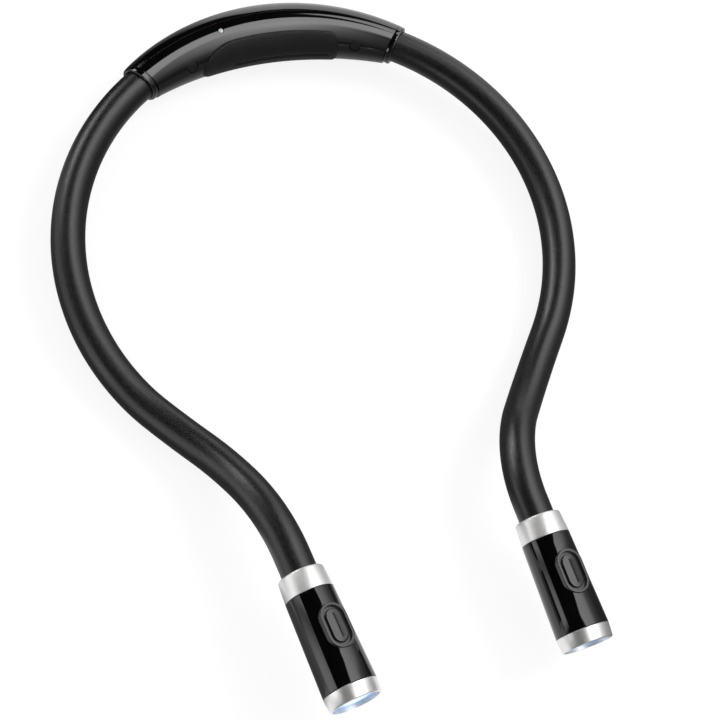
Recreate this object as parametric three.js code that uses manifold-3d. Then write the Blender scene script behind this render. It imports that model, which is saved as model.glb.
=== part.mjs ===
// Neck-worn reading light: a curved neck housing, two gooseneck arms and two lamp heads.
// Millimetres. +Y points from the lamp heads to the housing, +Z up, as it lies on a table.
// The origin is the middle of the bottom of its bounding box.

import * as THREE from 'three';
import { mergeVertices } from 'three/addons/utils/BufferGeometryUtils.js';
import Module from 'manifold-3d';

const wasm = await Module();
wasm.setup();

const degrees = THREE.MathUtils.degToRad;

// Clearances shared by all pieces
const fit = 0.3; // between pieces that touch
const overrun = 1; // how far a cutter passes the face that it cuts
const mergeDistance = 0.00001;

// Neck housing
const housingArcRadius = 88;
const housingHalfAngle = degrees(34.5);
const housingHalfWidth = 10.5; // across the wall that faces the neck, at the middle
const housingHalfHeight = 11.2;
const housingSag = 2; // drop of the middle below the ends
const housingWall = 1.8; // at the middle
const housingEndWall = 1.1;
const seamOffset = 2; // parting plane of the two shells, away from the neck
const housingEndTilt = degrees(6.5); // the end faces turn towards the neck
const endRingLength = 2.2;
const endRingRound = 0.6;

// Neck pad: its ends are measured from the plugs beside them
const padStartGap = 2.1;
const padEndGap = 4.5;
const padStartRound = 16;
const padEndRound = 4;
const padHalfAngle = degrees(56);
const padProud = 0.5;
const padDepth = 0.6;
const padEndTurn = degrees(80); // how far round its end curve the pad is drawn

// Screws and plugs that join the shells
const leftScrewInset = 20; // from the housing's end, along its centre line
const rightScrewInset = 16;
const screwAngle = degrees(29); // above the direction that faces the neck
const screwSeat = 3; // underside of the head, from the section's centre towards the neck
const screwHeadRadius = 1.5;
const screwHeadHeight = 1.2;
const screwShankRadius = 0.8;
const screwShankLength = 7.6;
const plugRadius = 2;
const bossWall = 1.1;

// Charge indicator
const indicatorPlace = -17;
const indicatorOffset = 1.4; // from the section's centre towards the neck
const indicatorRadius = 0.8;
const indicatorReach = 0.7; // past the inside of the wall

// Battery, board and charging socket
const boardLength = 26;
const boardInnerEdge = 5;
const boardOuterEdge = 6;
const boardThickness = 1;
const boardDrop = 2.2; // top of the board below the section's centre
const postRadius = 1.4;
const postSpacing = 16;
const postOffset = 2;
const batteryLength = 34;
const batteryWidth = 9.6;
const batteryHeight = 4.8;
const batteryOffset = 1.3; // towards the neck
const batteryRound = 1;
const socketWidth = 8.94;
const socketHeight = 3.2;
const socketDepth = 7.3;
const socketWall = 0.35;
const socketBack = 0.8;
const socketRecess = 0.2;
const tongueWidth = 6.7;
const tongueThickness = 0.7;
const landCut = 0.5; // depth of the flat land round the socket

// Flexible arms
const armRadius = 6;
const coreRadius = 2.5;
const armLength = 221.3; // from the housing's end to the collar
const armRootDepth = 8; // how far the arm reaches into the housing
const hingeCount = 6;
const firstHingeShare = 0.65; // of the spacing of the others
const bendLimit = degrees(30);
const domeWall = 3; // rubber beyond the end of the core in a dome
const coreRootDepth = 10;

// The arms as they rest. Places on an arm are shares of its length, counted from the housing.
const wrapAngle = degrees(92); // both turn in from the housing, round the neck
const wrapEndShare = 0.645;
const sweepEndShare = 0.97; // then they sweep back towards the front
const riseStartShare = 0.6;
const risePeakShare = 0.829;
const riseEndShare = 0.963;
const riseAngle = degrees(23.3);
const restingArms = [
  {
    name: 'right', side: 1, sweepStartShare: 0.811, sweepAngle: degrees(41),
    headSlope: degrees(0.5), headRoll: degrees(12)
  },
  {
    name: 'left', side: -1, sweepStartShare: 0.735, sweepAngle: degrees(28.2),
    headSlope: degrees(4.5), headRoll: degrees(19)
  }
];

// Lamp head, measured from the top of its collar
const collarLength = 7.4;
const collarWall = 1.65;
const collarFlare = 0.53;
const collarRound = 0.7;
const collarBoreDepth = 4.2;
const collarFloor = 1;
const coreHeadDepth = 6.4;
const barrelLength = 31.1;
const barrelFlare = 0.75;
const barrelWall = 1.15;
const spigotWall = 1.1;
const spigotShoulder = 1.4;
const rimLength = 4.65;
const rimTaper = 0.41;
const rimRound = 0.4;
const rimFrontWall = 0.75;
const rimSpigotLength = 2.8;
const rimSpigotWall = 0.9;
const lensThickness = 2.2;
const lensLedge = 1;
const reflectorWall = 0.7;
const reflectorThroat = 2.6;
const lampBoardThickness = 1.2;
const lampBoardGap = 0.6; // beyond the end of the button's ring
const chipWidth = 3;
const chipHeight = 0.6;

// Push button, along the barrel and across it
const buttonPlaceShare = 0.428; // of the barrel's length
const buttonLengthShare = 0.479; // of the barrel's length
const buttonRingWidth = 9.3;
const buttonRingWall = 1;
const buttonRingProud = 0.55;
const buttonRingHeight = 4.3;
const buttonRingFloor = 1;
const buttonGroove = 0.85;
const buttonDepth = 1.65; // underside of the button below the ring's top
const buttonFlange = 0.6;
const buttonInset = 0.3;
const strokeLengthShare = 0.515; // of the ring's length
const strokeWidth = 0.5;
const strokeDepth = 0.25;
const buttonTravel = 0.45;
const travelStop = 0.1;
const switchLength = 5;
const switchWidth = 3.6;
const switchBody = 0.6;
const actuatorRadius = 0.9;

// Facets: rounds have this many sides
const housingStations = 14;
const housingSides = 8;
const armSides = 14;
const armRings = 3;
const domeRings = 4;
const cupRings = 2;
const coreSides = 8;
const headSides = 24;
const smallSides = 12;
const stadiumSides = 8;
const roundSides = 2;
const cornerSides = 3;
const padEndStations = 4;
const padMiddleStations = 6;

// Materials
const glossBlack = { color: 0x050506, roughness: 0.12, metalness: 0 };
const matteBlack = { color: 0x141416, roughness: 0.55, metalness: 0 };
const padBlack = { color: 0x19191b, roughness: 0.8, metalness: 0 };
const satinSilver = { color: 0xc9cacb, roughness: 0.32, metalness: 0.9 };
const steel = { color: 0x8c8f93, roughness: 0.4, metalness: 1 };
const boardGreen = { color: 0x16432c, roughness: 0.6, metalness: 0 };
const cellBlue = { color: 0x2b4c78, roughness: 0.5, metalness: 0 };
const clearPlastic = { color: 0xdfe9f5, roughness: 0.1, metalness: 0 };
const whitePlastic = { color: 0xeef1f4, roughness: 0.3, metalness: 0 };

// Sizes worked out from the ones above
const housingHalfArc = housingArcRadius * housingHalfAngle;
const shellHalfArc = housingHalfArc - endRingLength - fit;
const shellEndLean = housingEndTilt + (endRingLength + fit) / housingArcRadius;
const leftScrewPlace = leftScrewInset - housingHalfArc;
const rightScrewPlace = housingHalfArc - rightScrewInset;
const padFlatStart = leftScrewPlace + plugRadius + padStartGap + padStartRound;
const padFlatEnd = rightScrewPlace - plugRadius - padEndGap - padEndRound;
const armBore = armRadius + fit;
const housingEndRadius = armBore + housingEndWall;
const hingeSpacing = armLength / (hingeCount + firstHingeShare);
const cupRadius = armRadius + fit;
const cupLip = armRadius * Math.tan(bendLimit) + fit;
const coreBore = coreRadius + fit;
const straightReach = cupRadius;

const collarRadius = armRadius + collarWall;
const barrelRadius = collarRadius + collarFlare;
const barrelStart = collarLength + fit;
const barrelEnd = barrelStart + barrelLength;
const rimStart = barrelEnd + fit;
const rimEnd = rimStart + rimLength;
const rimRadius = barrelRadius + barrelFlare;
const barrelBore = barrelRadius - barrelWall;
const spigotRadius = barrelRadius - barrelWall - fit;
const rimSpigotRadius = rimRadius - barrelWall - fit;
const rimSpigotBore = rimSpigotRadius - rimSpigotWall;
const rimFrontRadius = rimRadius - rimTaper;
const rimOpening = rimFrontRadius - rimFrontWall;
const lensStart = rimStart + lensLedge + fit;
const lensRadius = rimOpening - fit;

const buttonPlace = barrelStart + barrelLength * buttonPlaceShare;
const buttonRingLength = barrelLength * buttonLengthShare;
const strokeLength = buttonRingLength * strokeLengthShare;
const lampBoardStart = buttonPlace + buttonRingLength / 2 + lampBoardGap;
const reflectorStart = lampBoardStart + lampBoardThickness + fit;
const reflectorEnd = lensStart - fit;

const buttonRingTop = barrelRadius + barrelFlare * buttonPlaceShare + buttonRingProud;
const buttonBottom = buttonRingTop - buttonDepth;
const buttonTop = buttonRingTop - buttonInset;
const switchTop = buttonBottom - buttonTravel - travelStop;
const switchBottom = buttonRingTop - buttonRingHeight + buttonRingFloor + fit;

// A closed solid for cutting and joining, from a geometry whose like vertices are merged
function solidOf(geometry) {
  const bare = geometry.clone();
  bare.deleteAttribute('normal');
  bare.deleteAttribute('uv');
  const merged = mergeVertices(bare, mergeDistance);
  return new wasm.Manifold(new wasm.Mesh({
    numProp: 3,
    vertProperties: merged.attributes.position.array,
    triVerts: new Uint32Array(merged.index.array)
  }));
}

// A geometry from a solid
function geometryOf(solid) {
  const mesh = solid.getMesh();
  const geometry = new THREE.BufferGeometry();
  geometry.setAttribute('position', new THREE.BufferAttribute(mesh.vertProperties, 3));
  geometry.setIndex(new THREE.BufferAttribute(mesh.triVerts, 1));
  const faceted = geometry.toNonIndexed();
  faceted.computeVertexNormals();
  return faceted;
}

function piece(name, geometry, finish) {
  const mesh = new THREE.Mesh(geometry, new THREE.MeshStandardMaterial(finish));
  mesh.name = name;
  return mesh;
}

// A frame whose Y axis runs along a direction, with Z as near as possible to up
function frameAlong(origin, direction) {
  const side = new THREE.Vector3().crossVectors(direction, new THREE.Vector3(0, 0, 1)).normalize();
  const up = new THREE.Vector3().crossVectors(side, direction);
  return new THREE.Matrix4().makeBasis(side, direction, up).setPosition(origin);
}

// A turned solid from [radius, place along the Y axis] pairs
function turned(profile, sides) {
  return new THREE.LatheGeometry(profile.map(([radius, along]) => new THREE.Vector2(radius, along)), sides);
}

// A rounded edge of a turned profile, from one angle to another about the centre of its round
function edgeRound(radius, along, round, from, to) {
  const turns = evenly(from, to, roundSides);
  return turns.map(turn => [radius + round * Math.cos(turn), along + round * Math.sin(turn)]);
}

// A rod along +Y that starts at the origin
function rod(radius, length, sides = smallSides) {
  return turned([[0, 0], [radius, 0], [radius, length], [0, length]], sides);
}

// A solid through closed outlines, each set in its own plane
function loft(stations) {
  const count = stations[0].outline.length;
  const positions = [];
  for (const { centre, across, up, outline } of stations) {
    for (const point of outline) {
      const place = centre.clone().addScaledVector(across, point.x).addScaledVector(up, point.y);
      positions.push(place.x, place.y, place.z);
    }
  }
  const index = [];
  for (let row = 0; row < stations.length - 1; row++) {
    for (let column = 0; column < count; column++) {
      const a = row * count + column;
      const b = row * count + (column + 1) % count;
      index.push(a, b, a + count, b, b + count, a + count);
    }
  }
  const last = (stations.length - 1) * count;
  for (const [a, b, c] of THREE.ShapeUtils.triangulateShape(stations[0].outline, [])) {
    index.push(a, c, b);
  }
  for (const [a, b, c] of THREE.ShapeUtils.triangulateShape(stations.at(-1).outline, [])) {
    index.push(last + a, last + b, last + c);
  }
  const geometry = new THREE.BufferGeometry();
  geometry.setAttribute('position', new THREE.Float32BufferAttribute(positions, 3));
  geometry.setIndex(index);
  return geometry;
}

// An upright plate with round ends, its length along Y, from one height to another
function stadium(length, width, bottom, top) {
  const half = (length - width) / 2;
  const shape = new THREE.Shape();
  shape.absarc(0, half, width / 2, 0, Math.PI);
  shape.absarc(0, -half, width / 2, Math.PI, 2 * Math.PI);
  const options = { depth: top - bottom, bevelEnabled: false, curveSegments: stadiumSides };
  return new THREE.ExtrudeGeometry(shape, options).translate(0, 0, bottom);
}

// Housing: its section at a place along the centre line, counted from the middle
function housingSection(place) {
  const angle = place / housingArcRadius;
  const swell = 1 - (place / housingHalfArc) ** 2;
  const outward = new THREE.Vector3(Math.sin(angle), Math.cos(angle), 0);
  const tangent = new THREE.Vector3(Math.cos(angle), -Math.sin(angle), 0);
  const lean = Math.tan(shellEndLean) * (place / shellHalfArc) ** 3;
  return {
    centre: new THREE.Vector3(
      housingArcRadius * Math.sin(angle),
      -housingArcRadius * (1 - Math.cos(angle)),
      -housingSag * swell
    ),
    outward,
    across: outward.clone().addScaledVector(tangent, lean),
    halfWidth: THREE.MathUtils.lerp(housingEndRadius, housingHalfWidth, swell),
    halfHeight: THREE.MathUtils.lerp(housingEndRadius, housingHalfHeight, swell),
    wall: THREE.MathUtils.lerp(housingEndWall, housingWall, swell)
  };
}

// Points of the section's oval, sunk by an inset, between two angles either side of a facing
function ovalArc(section, inset, limit, sides) {
  const points = [];
  for (let i = 0; i <= sides; i++) {
    const angle = limit * (2 * i / sides - 1);
    const x = (section.halfWidth - inset) * Math.cos(angle);
    const y = (section.halfHeight - inset) * Math.sin(angle);
    points.push(new THREE.Vector2(x, y));
  }
  return points;
}

// The section's plane, turned to face away from the neck (+1) or towards it (-1)
function facing(section, way) {
  return {
    centre: section.centre,
    across: section.across.clone().multiplyScalar(way),
    up: new THREE.Vector3(0, 0, way)
  };
}

function evenly(from, to, steps) {
  return Array.from({ length: steps + 1 }, (_, i) => THREE.MathUtils.lerp(from, to, i / steps));
}

const shellPlaces = evenly(-shellHalfArc, shellHalfArc, housingStations);

// One of the two half shells, open along the parting plane
function halfShell(way) {
  const edge = seamOffset * way + fit / 2;
  const stations = shellPlaces.map(place => {
    const section = housingSection(place);
    const outer = ovalArc(section, 0, Math.acos(edge / section.halfWidth), housingSides);
    const innerLimit = Math.acos(edge / (section.halfWidth - section.wall));
    const inner = ovalArc(section, section.wall, innerLimit, housingSides).reverse();
    return { ...facing(section, way), outline: [...outer, ...inner] };
  });
  return solidOf(loft(stations));
}

// The housing's body without a hollow, whose skin lies halfway into the wall
function housingFill() {
  const stations = shellPlaces.map(place => {
    const section = housingSection(place);
    const outline = ovalArc(section, section.wall / 2, Math.PI, 2 * housingSides).slice(1);
    return { ...facing(section, 1), outline };
  });
  return solidOf(loft(stations));
}

// The housing's outer skin, filled
function housingSkin() {
  const stations = shellPlaces.map(place => {
    const section = housingSection(place);
    return { ...facing(section, 1), outline: ovalArc(section, 0, Math.PI, 4 * housingSides).slice(1) };
  });
  return solidOf(loft(stations));
}

// A solid moved by a frame
function placed(geometry, frame) {
  return solidOf(geometry.clone().applyMatrix4(frame));
}

// Frame of a screw: origin beside the section's centre, Y towards the neck
function screwFrame(place) {
  const section = housingSection(place);
  const origin = section.centre.clone();
  origin.z += section.halfHeight * Math.sin(screwAngle);
  return frameAlong(origin, section.outward.clone().negate());
}

// A rod between two places along a screw's axis
function screwRod(place, radius, from, to) {
  return placed(rod(radius, to - from).translate(0, from, 0), screwFrame(place));
}

function screwGeometry(place) {
  const tip = screwSeat - screwShankLength;
  const head = screwSeat + screwHeadHeight;
  const profile = [
    [0, tip], [screwShankRadius, tip], [screwShankRadius, screwSeat],
    [screwHeadRadius, screwSeat], [screwHeadRadius, head], [0, head]
  ];
  return turned(profile, smallSides).applyMatrix4(screwFrame(place));
}

function plugGeometry(place) {
  const start = screwSeat + screwHeadHeight + fit;
  const plug = screwRod(place, plugRadius, start, housingHalfWidth + overrun);
  return geometryOf(plug.intersect(housingSkin()));
}

// The pad's shape along the housing; grown by a clearance it is the cutter of its recess
function padBody(clearance) {
  const endTurns = evenly(padEndTurn, 0, padEndStations);
  const starts = endTurns.map(turn => [padFlatStart - (padStartRound + clearance) * Math.sin(turn), turn]);
  const middles = evenly(padFlatStart, padFlatEnd, padMiddleStations).slice(1, -1).map(place => [place, 0]);
  const ends = endTurns.map(turn => [padFlatEnd + (padEndRound + clearance) * Math.sin(turn), turn]).reverse();
  const stations = [...starts, ...middles, ...ends].map(([place, turn]) => {
    const section = housingSection(place);
    const limit = padHalfAngle * Math.cos(turn) + clearance / section.halfHeight;
    const proud = clearance > 0 ? padProud + overrun : padProud;
    const outer = ovalArc(section, -proud, limit, housingSides);
    const inner = ovalArc(section, padDepth + clearance, limit, housingSides).reverse();
    return { ...facing(section, -1), outline: [...outer, ...inner] };
  });
  return loft(stations);
}

// Charging socket: a rounded metal sleeve with a back plate and a tongue, mouth towards +Y
const middleSection = housingSection(0);
const boardTop = middleSection.centre.z - boardDrop;
const socketMouth = housingHalfWidth - landCut - socketRecess;
const socketCentre = boardTop + fit + socketHeight / 2;

// A stadium bar along Y, its long side level, between two places along Y
function levelBar(width, height, from, to) {
  const bar = stadium(width, height, 0, to - from);
  bar.rotateZ(Math.PI / 2);
  bar.rotateX(-Math.PI / 2);
  return solidOf(bar.translate(0, from, socketCentre));
}

function boxAt(width, from, to, bottom, top) {
  const box = new THREE.BoxGeometry(width, to - from, top - bottom);
  return solidOf(box.translate(0, (from + to) / 2, (bottom + top) / 2));
}

function socketGeometry() {
  const back = socketMouth - socketDepth;
  const inner = socketHeight - 2 * socketWall;
  const mouth = levelBar(socketWidth - 2 * socketWall, inner, back + socketBack, socketMouth + overrun);
  const tongueTop = socketCentre + tongueThickness / 2;
  const tongueEnd = socketMouth - socketBack;
  const tongue = boxAt(tongueWidth, back, tongueEnd, tongueTop - tongueThickness, tongueTop);
  return geometryOf(levelBar(socketWidth, socketHeight, back, socketMouth).subtract(mouth).add(tongue));
}

function outerShellGeometry() {
  let shell = halfShell(1);
  for (const place of [leftScrewPlace, rightScrewPlace]) {
    const bossRadius = screwShankRadius + fit + bossWall;
    const boss = screwRod(place, bossRadius, -housingHalfWidth, -seamOffset - fit / 2);
    const pilot = screwRod(place, screwShankRadius + fit, screwSeat - screwShankLength - fit, screwSeat);
    shell = shell.add(boss.intersect(housingFill())).subtract(pilot);
  }
  const face = housingHalfWidth - landCut;
  const slotWidth = socketWidth + 2 * fit;
  const slotHeight = socketHeight + 2 * fit;
  const lowest = -housingHalfHeight - housingSag;
  const land = boxAt(2 * housingHalfWidth, face, face + landCut + overrun, lowest, housingHalfHeight);
  const slot = levelBar(slotWidth, slotHeight, face - housingWall - overrun, face + overrun);
  return geometryOf(shell.subtract(land).subtract(slot));
}

function innerShellGeometry() {
  let shell = halfShell(-1);
  const fill = housingFill();
  for (const place of [leftScrewPlace, rightScrewPlace]) {
    const bossRadius = plugRadius + fit + bossWall;
    const boss = screwRod(place, bossRadius, -seamOffset + fit / 2, housingHalfWidth);
    const counterbore = screwRod(place, plugRadius + fit, screwSeat - fit, housingHalfWidth + overrun);
    const shankHole = screwRod(place, screwShankRadius + fit, -seamOffset - overrun, screwSeat);
    shell = shell.add(boss.intersect(fill)).subtract(counterbore).subtract(shankHole);
  }
  for (const side of [-1, 1]) {
    const underside = boardTop - boardThickness - fit;
    const floor = -housingSag - housingHalfHeight;
    const post = rod(postRadius, underside - floor).rotateX(Math.PI / 2);
    const standing = solidOf(post.translate(side * postSpacing / 2, -postOffset, floor));
    shell = shell.add(standing.intersect(fill));
  }
  const hole = indicatorRod(indicatorRadius + fit, indicatorReach + overrun, overrun);
  return geometryOf(shell.subtract(hole).subtract(solidOf(padBody(fit))));
}

// An upright rod at the indicator's place, from below the housing's wall to above it
function indicatorRod(radius, below, above) {
  const section = housingSection(indicatorPlace);
  const across = indicatorOffset / section.halfWidth;
  const origin = section.centre.clone().addScaledVector(section.outward, -indicatorOffset);
  origin.z += section.halfHeight * Math.sqrt(1 - across ** 2) - section.wall - below;
  return solidOf(rod(radius, below + section.wall + above).rotateX(Math.PI / 2).translate(...origin));
}

function batteryGeometry() {
  const half = batteryLength / 2;
  const shape = new THREE.Shape();
  shape.moveTo(-half + batteryRound, -batteryWidth / 2);
  shape.absarc(half - batteryRound, -batteryWidth / 2 + batteryRound, batteryRound, -Math.PI / 2, 0);
  shape.absarc(half - batteryRound, batteryWidth / 2 - batteryRound, batteryRound, 0, Math.PI / 2);
  shape.absarc(-half + batteryRound, batteryWidth / 2 - batteryRound, batteryRound, Math.PI / 2, Math.PI);
  shape.absarc(-half + batteryRound, -batteryWidth / 2 + batteryRound, batteryRound, Math.PI, -Math.PI / 2);
  const options = { depth: batteryHeight, bevelEnabled: false, curveSegments: cornerSides };
  const bottom = socketCentre + socketHeight / 2 + fit;
  return new THREE.ExtrudeGeometry(shape, options).translate(0, -batteryOffset, bottom);
}

function boardGeometry() {
  return geometryOf(boxAt(boardLength, -boardInnerEdge, boardOuterEdge, boardTop - boardThickness, boardTop));
}

// A ring that closes the housing round an arm; its Y axis runs out along the arm
function endRingGeometry() {
  return turned([
    [armBore, -endRingLength], [housingEndRadius, -endRingLength],
    ...edgeRound(housingEndRadius - endRingRound, -endRingRound, endRingRound, 0, Math.PI / 2),
    [armBore, 0], [armBore, -endRingLength]
  ], headSides);
}

// How much of a stretch of the arm lies before a place, from 0 to 1
function covered(place, start, end) {
  return THREE.MathUtils.clamp((place - start) / (end - start), 0, 1);
}

// Direction of an arm's centre line at a place, drawn as on the right
function armDirection(arm, place) {
  const wrap = wrapAngle * covered(place, 0, wrapEndShare);
  const sweep = arm.sweepAngle * covered(place, arm.sweepStartShare, sweepEndShare);
  const heading = housingHalfAngle + wrap - sweep;
  const rise = riseAngle * covered(place, riseStartShare, risePeakShare);
  const fall = (riseAngle - arm.headSlope) * covered(place, risePeakShare, riseEndShare);
  const level = Math.cos(rise - fall);
  return new THREE.Vector3(Math.cos(heading) * level, -Math.sin(heading) * level, Math.sin(rise - fall));
}

// An arm's centre line, walked in small steps from the housing's end
const walkSteps = 400;
function walkArm(arm) {
  const walk = [housingSection(housingHalfArc).centre];
  for (let i = 0; i < walkSteps; i++) {
    const direction = armDirection(arm, (i + 1 / 2) / walkSteps);
    walk.push(walk[i].clone().addScaledVector(direction, armLength / walkSteps));
  }
  return walk;
}

const arms = restingArms.map(arm => ({ ...arm, walk: walkArm(arm) }));

// An arm's frame at a distance from the housing's end, mirrored on the left; straight past both ends
function armFrame(arm, distance) {
  const within = THREE.MathUtils.clamp(distance, 0, armLength);
  const step = within / armLength * walkSteps;
  const before = Math.min(Math.floor(step), walkSteps - 1);
  const point = arm.walk[before].clone().lerp(arm.walk[before + 1], step - before);
  const direction = armDirection(arm, within / armLength);
  point.addScaledVector(direction, distance - within);
  const mirror = new THREE.Vector3(arm.side, 1, 1);
  return frameAlong(point.multiply(mirror), direction.multiply(mirror));
}

const hingePlaces = Array.from({ length: hingeCount }, (_, i) => hingeSpacing * (i + firstHingeShare));

// Bends a turned geometry along an arm. Near a hinge it stays straight, so that the joint turns freely.
function bendAlongArm(geometry, arm, home) {
  const position = geometry.attributes.position;
  const vertex = new THREE.Vector3();
  const toHome = home.clone().invert();
  for (let i = 0; i < position.count; i++) {
    vertex.fromBufferAttribute(position, i);
    const distance = vertex.y;
    const hinge = hingePlaces.find(place => Math.abs(distance - place) <= straightReach);
    const station = hinge ?? distance;
    vertex.y = distance - station;
    vertex.applyMatrix4(armFrame(arm, station)).applyMatrix4(toHome);
    position.setXYZ(i, vertex.x, vertex.y, vertex.z);
  }
  return geometry;
}

// The curved stretch of a section, clear of the straight parts at its hinges
function bendStretch(index) {
  const first = index === 0;
  const last = index === hingeCount;
  const from = first ? 0 : hingePlaces[index - 1] + straightReach + fit;
  const to = last ? armLength : hingePlaces[index] - straightReach - fit;
  return evenly(from, to, armRings);
}

// Outside of a sleeve's near end: flat inside the housing, or a cup that turns on the dome before it
function sleeveStart(index) {
  if (index === 0) {
    return [[coreBore, -armRootDepth], [armRadius, -armRootDepth]];
  }
  const hinge = hingePlaces[index - 1];
  const cup = evenly(Math.asin(coreBore / cupRadius), Math.acos(cupLip / cupRadius), cupRings);
  const profile = cup.map(angle => [cupRadius * Math.sin(angle), hinge + cupRadius * Math.cos(angle)]);
  return [...profile, [armRadius, hinge + cupLip]];
}

// Outside of a sleeve's far end: flat inside the collar, or a dome centred on the next hinge
function sleeveEnd(index) {
  if (index === hingeCount) {
    const end = armLength + collarBoreDepth - fit;
    return [[armRadius, end], [coreBore, end]];
  }
  const hinge = hingePlaces[index];
  const dome = evenly(0, Math.PI / 2, domeRings).slice(0, -1);
  const profile = dome.map(angle => [armRadius * Math.cos(angle), hinge + armRadius * Math.sin(angle)]);
  return [...profile, [0, hinge + armRadius]];
}

// Rubber sleeve from one hinge to the next, with a bore for the core
function sleeveProfile(index) {
  const stretch = bendStretch(index);
  const outside = stretch.map(place => [armRadius, place]);
  const bore = stretch.map(place => [coreBore, place]).reverse();
  const skin = [...sleeveStart(index), ...outside, ...sleeveEnd(index)];
  if (index === hingeCount) {
    return [...skin, ...bore, skin[0]];
  }
  const boreEnd = hingePlaces[index] + domeWall;
  return [[0, boreEnd], [coreBore, boreEnd], ...bore, ...skin];
}

function coreProfile(index) {
  const stretch = bendStretch(index);
  const start = index === 0 ? -coreRootDepth : stretch[0];
  const end = index === hingeCount ? armLength + coreHeadDepth : hingePlaces[index] + domeWall - fit;
  const places = index === 0 ? [start, ...stretch, end] : [...stretch, end];
  return [[0, start], ...places.map(place => [coreRadius, place]), [0, end]];
}

// Lamp head pieces, turned about Y
function collarGeometry() {
  const recess = collarBoreDepth + collarFloor;
  const recessRadius = spigotRadius + fit;
  return turned([
    [armBore, 0], ...edgeRound(collarRadius - collarRound, collarRound, collarRound, -Math.PI / 2, 0),
    [barrelRadius, collarLength], [recessRadius, collarLength], [recessRadius, recess],
    [coreBore, recess], [coreBore, collarBoreDepth], [armBore, collarBoreDepth], [armBore, 0]
  ], headSides);
}

function barrelGeometry() {
  const spigotStart = collarBoreDepth + collarFloor + fit;
  const spigotBore = spigotRadius - spigotWall;
  const shoulder = barrelStart + spigotShoulder;
  const tube = solidOf(turned([
    [spigotBore, spigotStart], [spigotRadius, spigotStart], [spigotRadius, barrelStart],
    [barrelRadius, barrelStart], [rimRadius, barrelEnd], [rimRadius - barrelWall, barrelEnd],
    [barrelBore, shoulder], [spigotBore, shoulder], [spigotBore, spigotStart]
  ], headSides));
  const window = stadium(buttonRingLength + 2 * fit, buttonRingWidth + 2 * fit, 0, buttonRingTop + overrun);
  return geometryOf(tube.subtract(placed(window, buttonFrame())));
}

// The button's own frame on the head: X across it, Y along the head, Z out of the barrel
function buttonFrame() {
  return new THREE.Matrix4().makeTranslation(0, buttonPlace, 0);
}

function buttonRingGeometry() {
  const bottom = buttonRingTop - buttonRingHeight;
  const inside = 2 * buttonRingWall;
  const outer = solidOf(stadium(buttonRingLength, buttonRingWidth, bottom, buttonRingTop));
  const pocketTop = buttonRingTop + overrun;
  const pocket = stadium(buttonRingLength - inside, buttonRingWidth - inside, bottom + buttonRingFloor, pocketTop);
  return geometryOf(outer.subtract(solidOf(pocket)));
}

function buttonGeometry() {
  const flangeMargin = 2 * (buttonRingWall + fit);
  const capMargin = 2 * (buttonRingWall + buttonGroove);
  const flangeTop = buttonBottom + buttonFlange;
  const flange = stadium(buttonRingLength - flangeMargin, buttonRingWidth - flangeMargin, buttonBottom, flangeTop);
  const cap = stadium(buttonRingLength - capMargin, buttonRingWidth - capMargin, buttonBottom, buttonTop);
  const stroke = stadium(strokeLength, strokeWidth, buttonTop - strokeDepth, buttonTop + overrun);
  return geometryOf(solidOf(flange).add(solidOf(cap)).subtract(solidOf(stroke)));
}

function switchGeometry() {
  const bodyTop = switchBottom + switchBody;
  const body = boxAt(switchWidth, -switchLength / 2, switchLength / 2, switchBottom, bodyTop);
  const actuator = rod(actuatorRadius, switchTop - switchBottom).rotateX(Math.PI / 2);
  return geometryOf(body.add(solidOf(actuator.translate(0, 0, switchBottom))));
}

function lampBoardGeometry() {
  const board = solidOf(rod(barrelBore - fit, lampBoardThickness, headSides).translate(0, lampBoardStart, 0));
  const chipEnd = lampBoardStart + lampBoardThickness + chipHeight;
  return geometryOf(board.add(boxAt(chipWidth, lampBoardStart, chipEnd, -chipWidth / 2, chipWidth / 2)));
}

function reflectorGeometry() {
  const mouth = rimSpigotBore - fit;
  return turned([
    [reflectorThroat, reflectorStart], [reflectorThroat + reflectorWall, reflectorStart],
    [mouth, reflectorEnd], [mouth - reflectorWall, reflectorEnd], [reflectorThroat, reflectorStart]
  ], headSides);
}

function lensGeometry() {
  return rod(lensRadius, lensThickness, headSides).translate(0, lensStart, 0);
}

function frontRimGeometry() {
  const ledge = rimStart + lensLedge;
  const spigotStart = rimStart - rimSpigotLength;
  return turned([
    [rimSpigotBore, spigotStart], [rimSpigotRadius, spigotStart], [rimSpigotRadius, rimStart],
    [rimRadius, rimStart], ...edgeRound(rimFrontRadius - rimRound, rimEnd - rimRound, rimRound, 0, Math.PI / 2),
    [rimOpening, rimEnd], [rimOpening, ledge], [rimSpigotBore, ledge], [rimSpigotBore, spigotStart]
  ], headSides);
}

function lampHead(sideName) {
  const head = new THREE.Group();
  head.add(piece(`${sideName}_collar`, collarGeometry(), satinSilver));
  head.add(piece(`${sideName}_barrel`, barrelGeometry(), glossBlack));
  head.add(piece(`${sideName}_lamp_board`, lampBoardGeometry(), boardGreen));
  head.add(piece(`${sideName}_reflector`, reflectorGeometry(), whitePlastic));
  head.add(piece(`${sideName}_lens`, lensGeometry(), clearPlastic));
  head.add(piece(`${sideName}_front_rim`, frontRimGeometry(), satinSilver));
  const controls = new THREE.Group();
  controls.applyMatrix4(buttonFrame());
  controls.add(piece(`${sideName}_button_ring`, buttonRingGeometry(), matteBlack));
  controls.add(piece(`${sideName}_switch`, switchGeometry(), steel));
  const button = new THREE.Group();
  button.name = `${sideName}_press_point`;
  button.add(piece(`${sideName}_button`, buttonGeometry(), matteBlack));
  controls.add(button);
  head.add(controls);
  return head;
}

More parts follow.
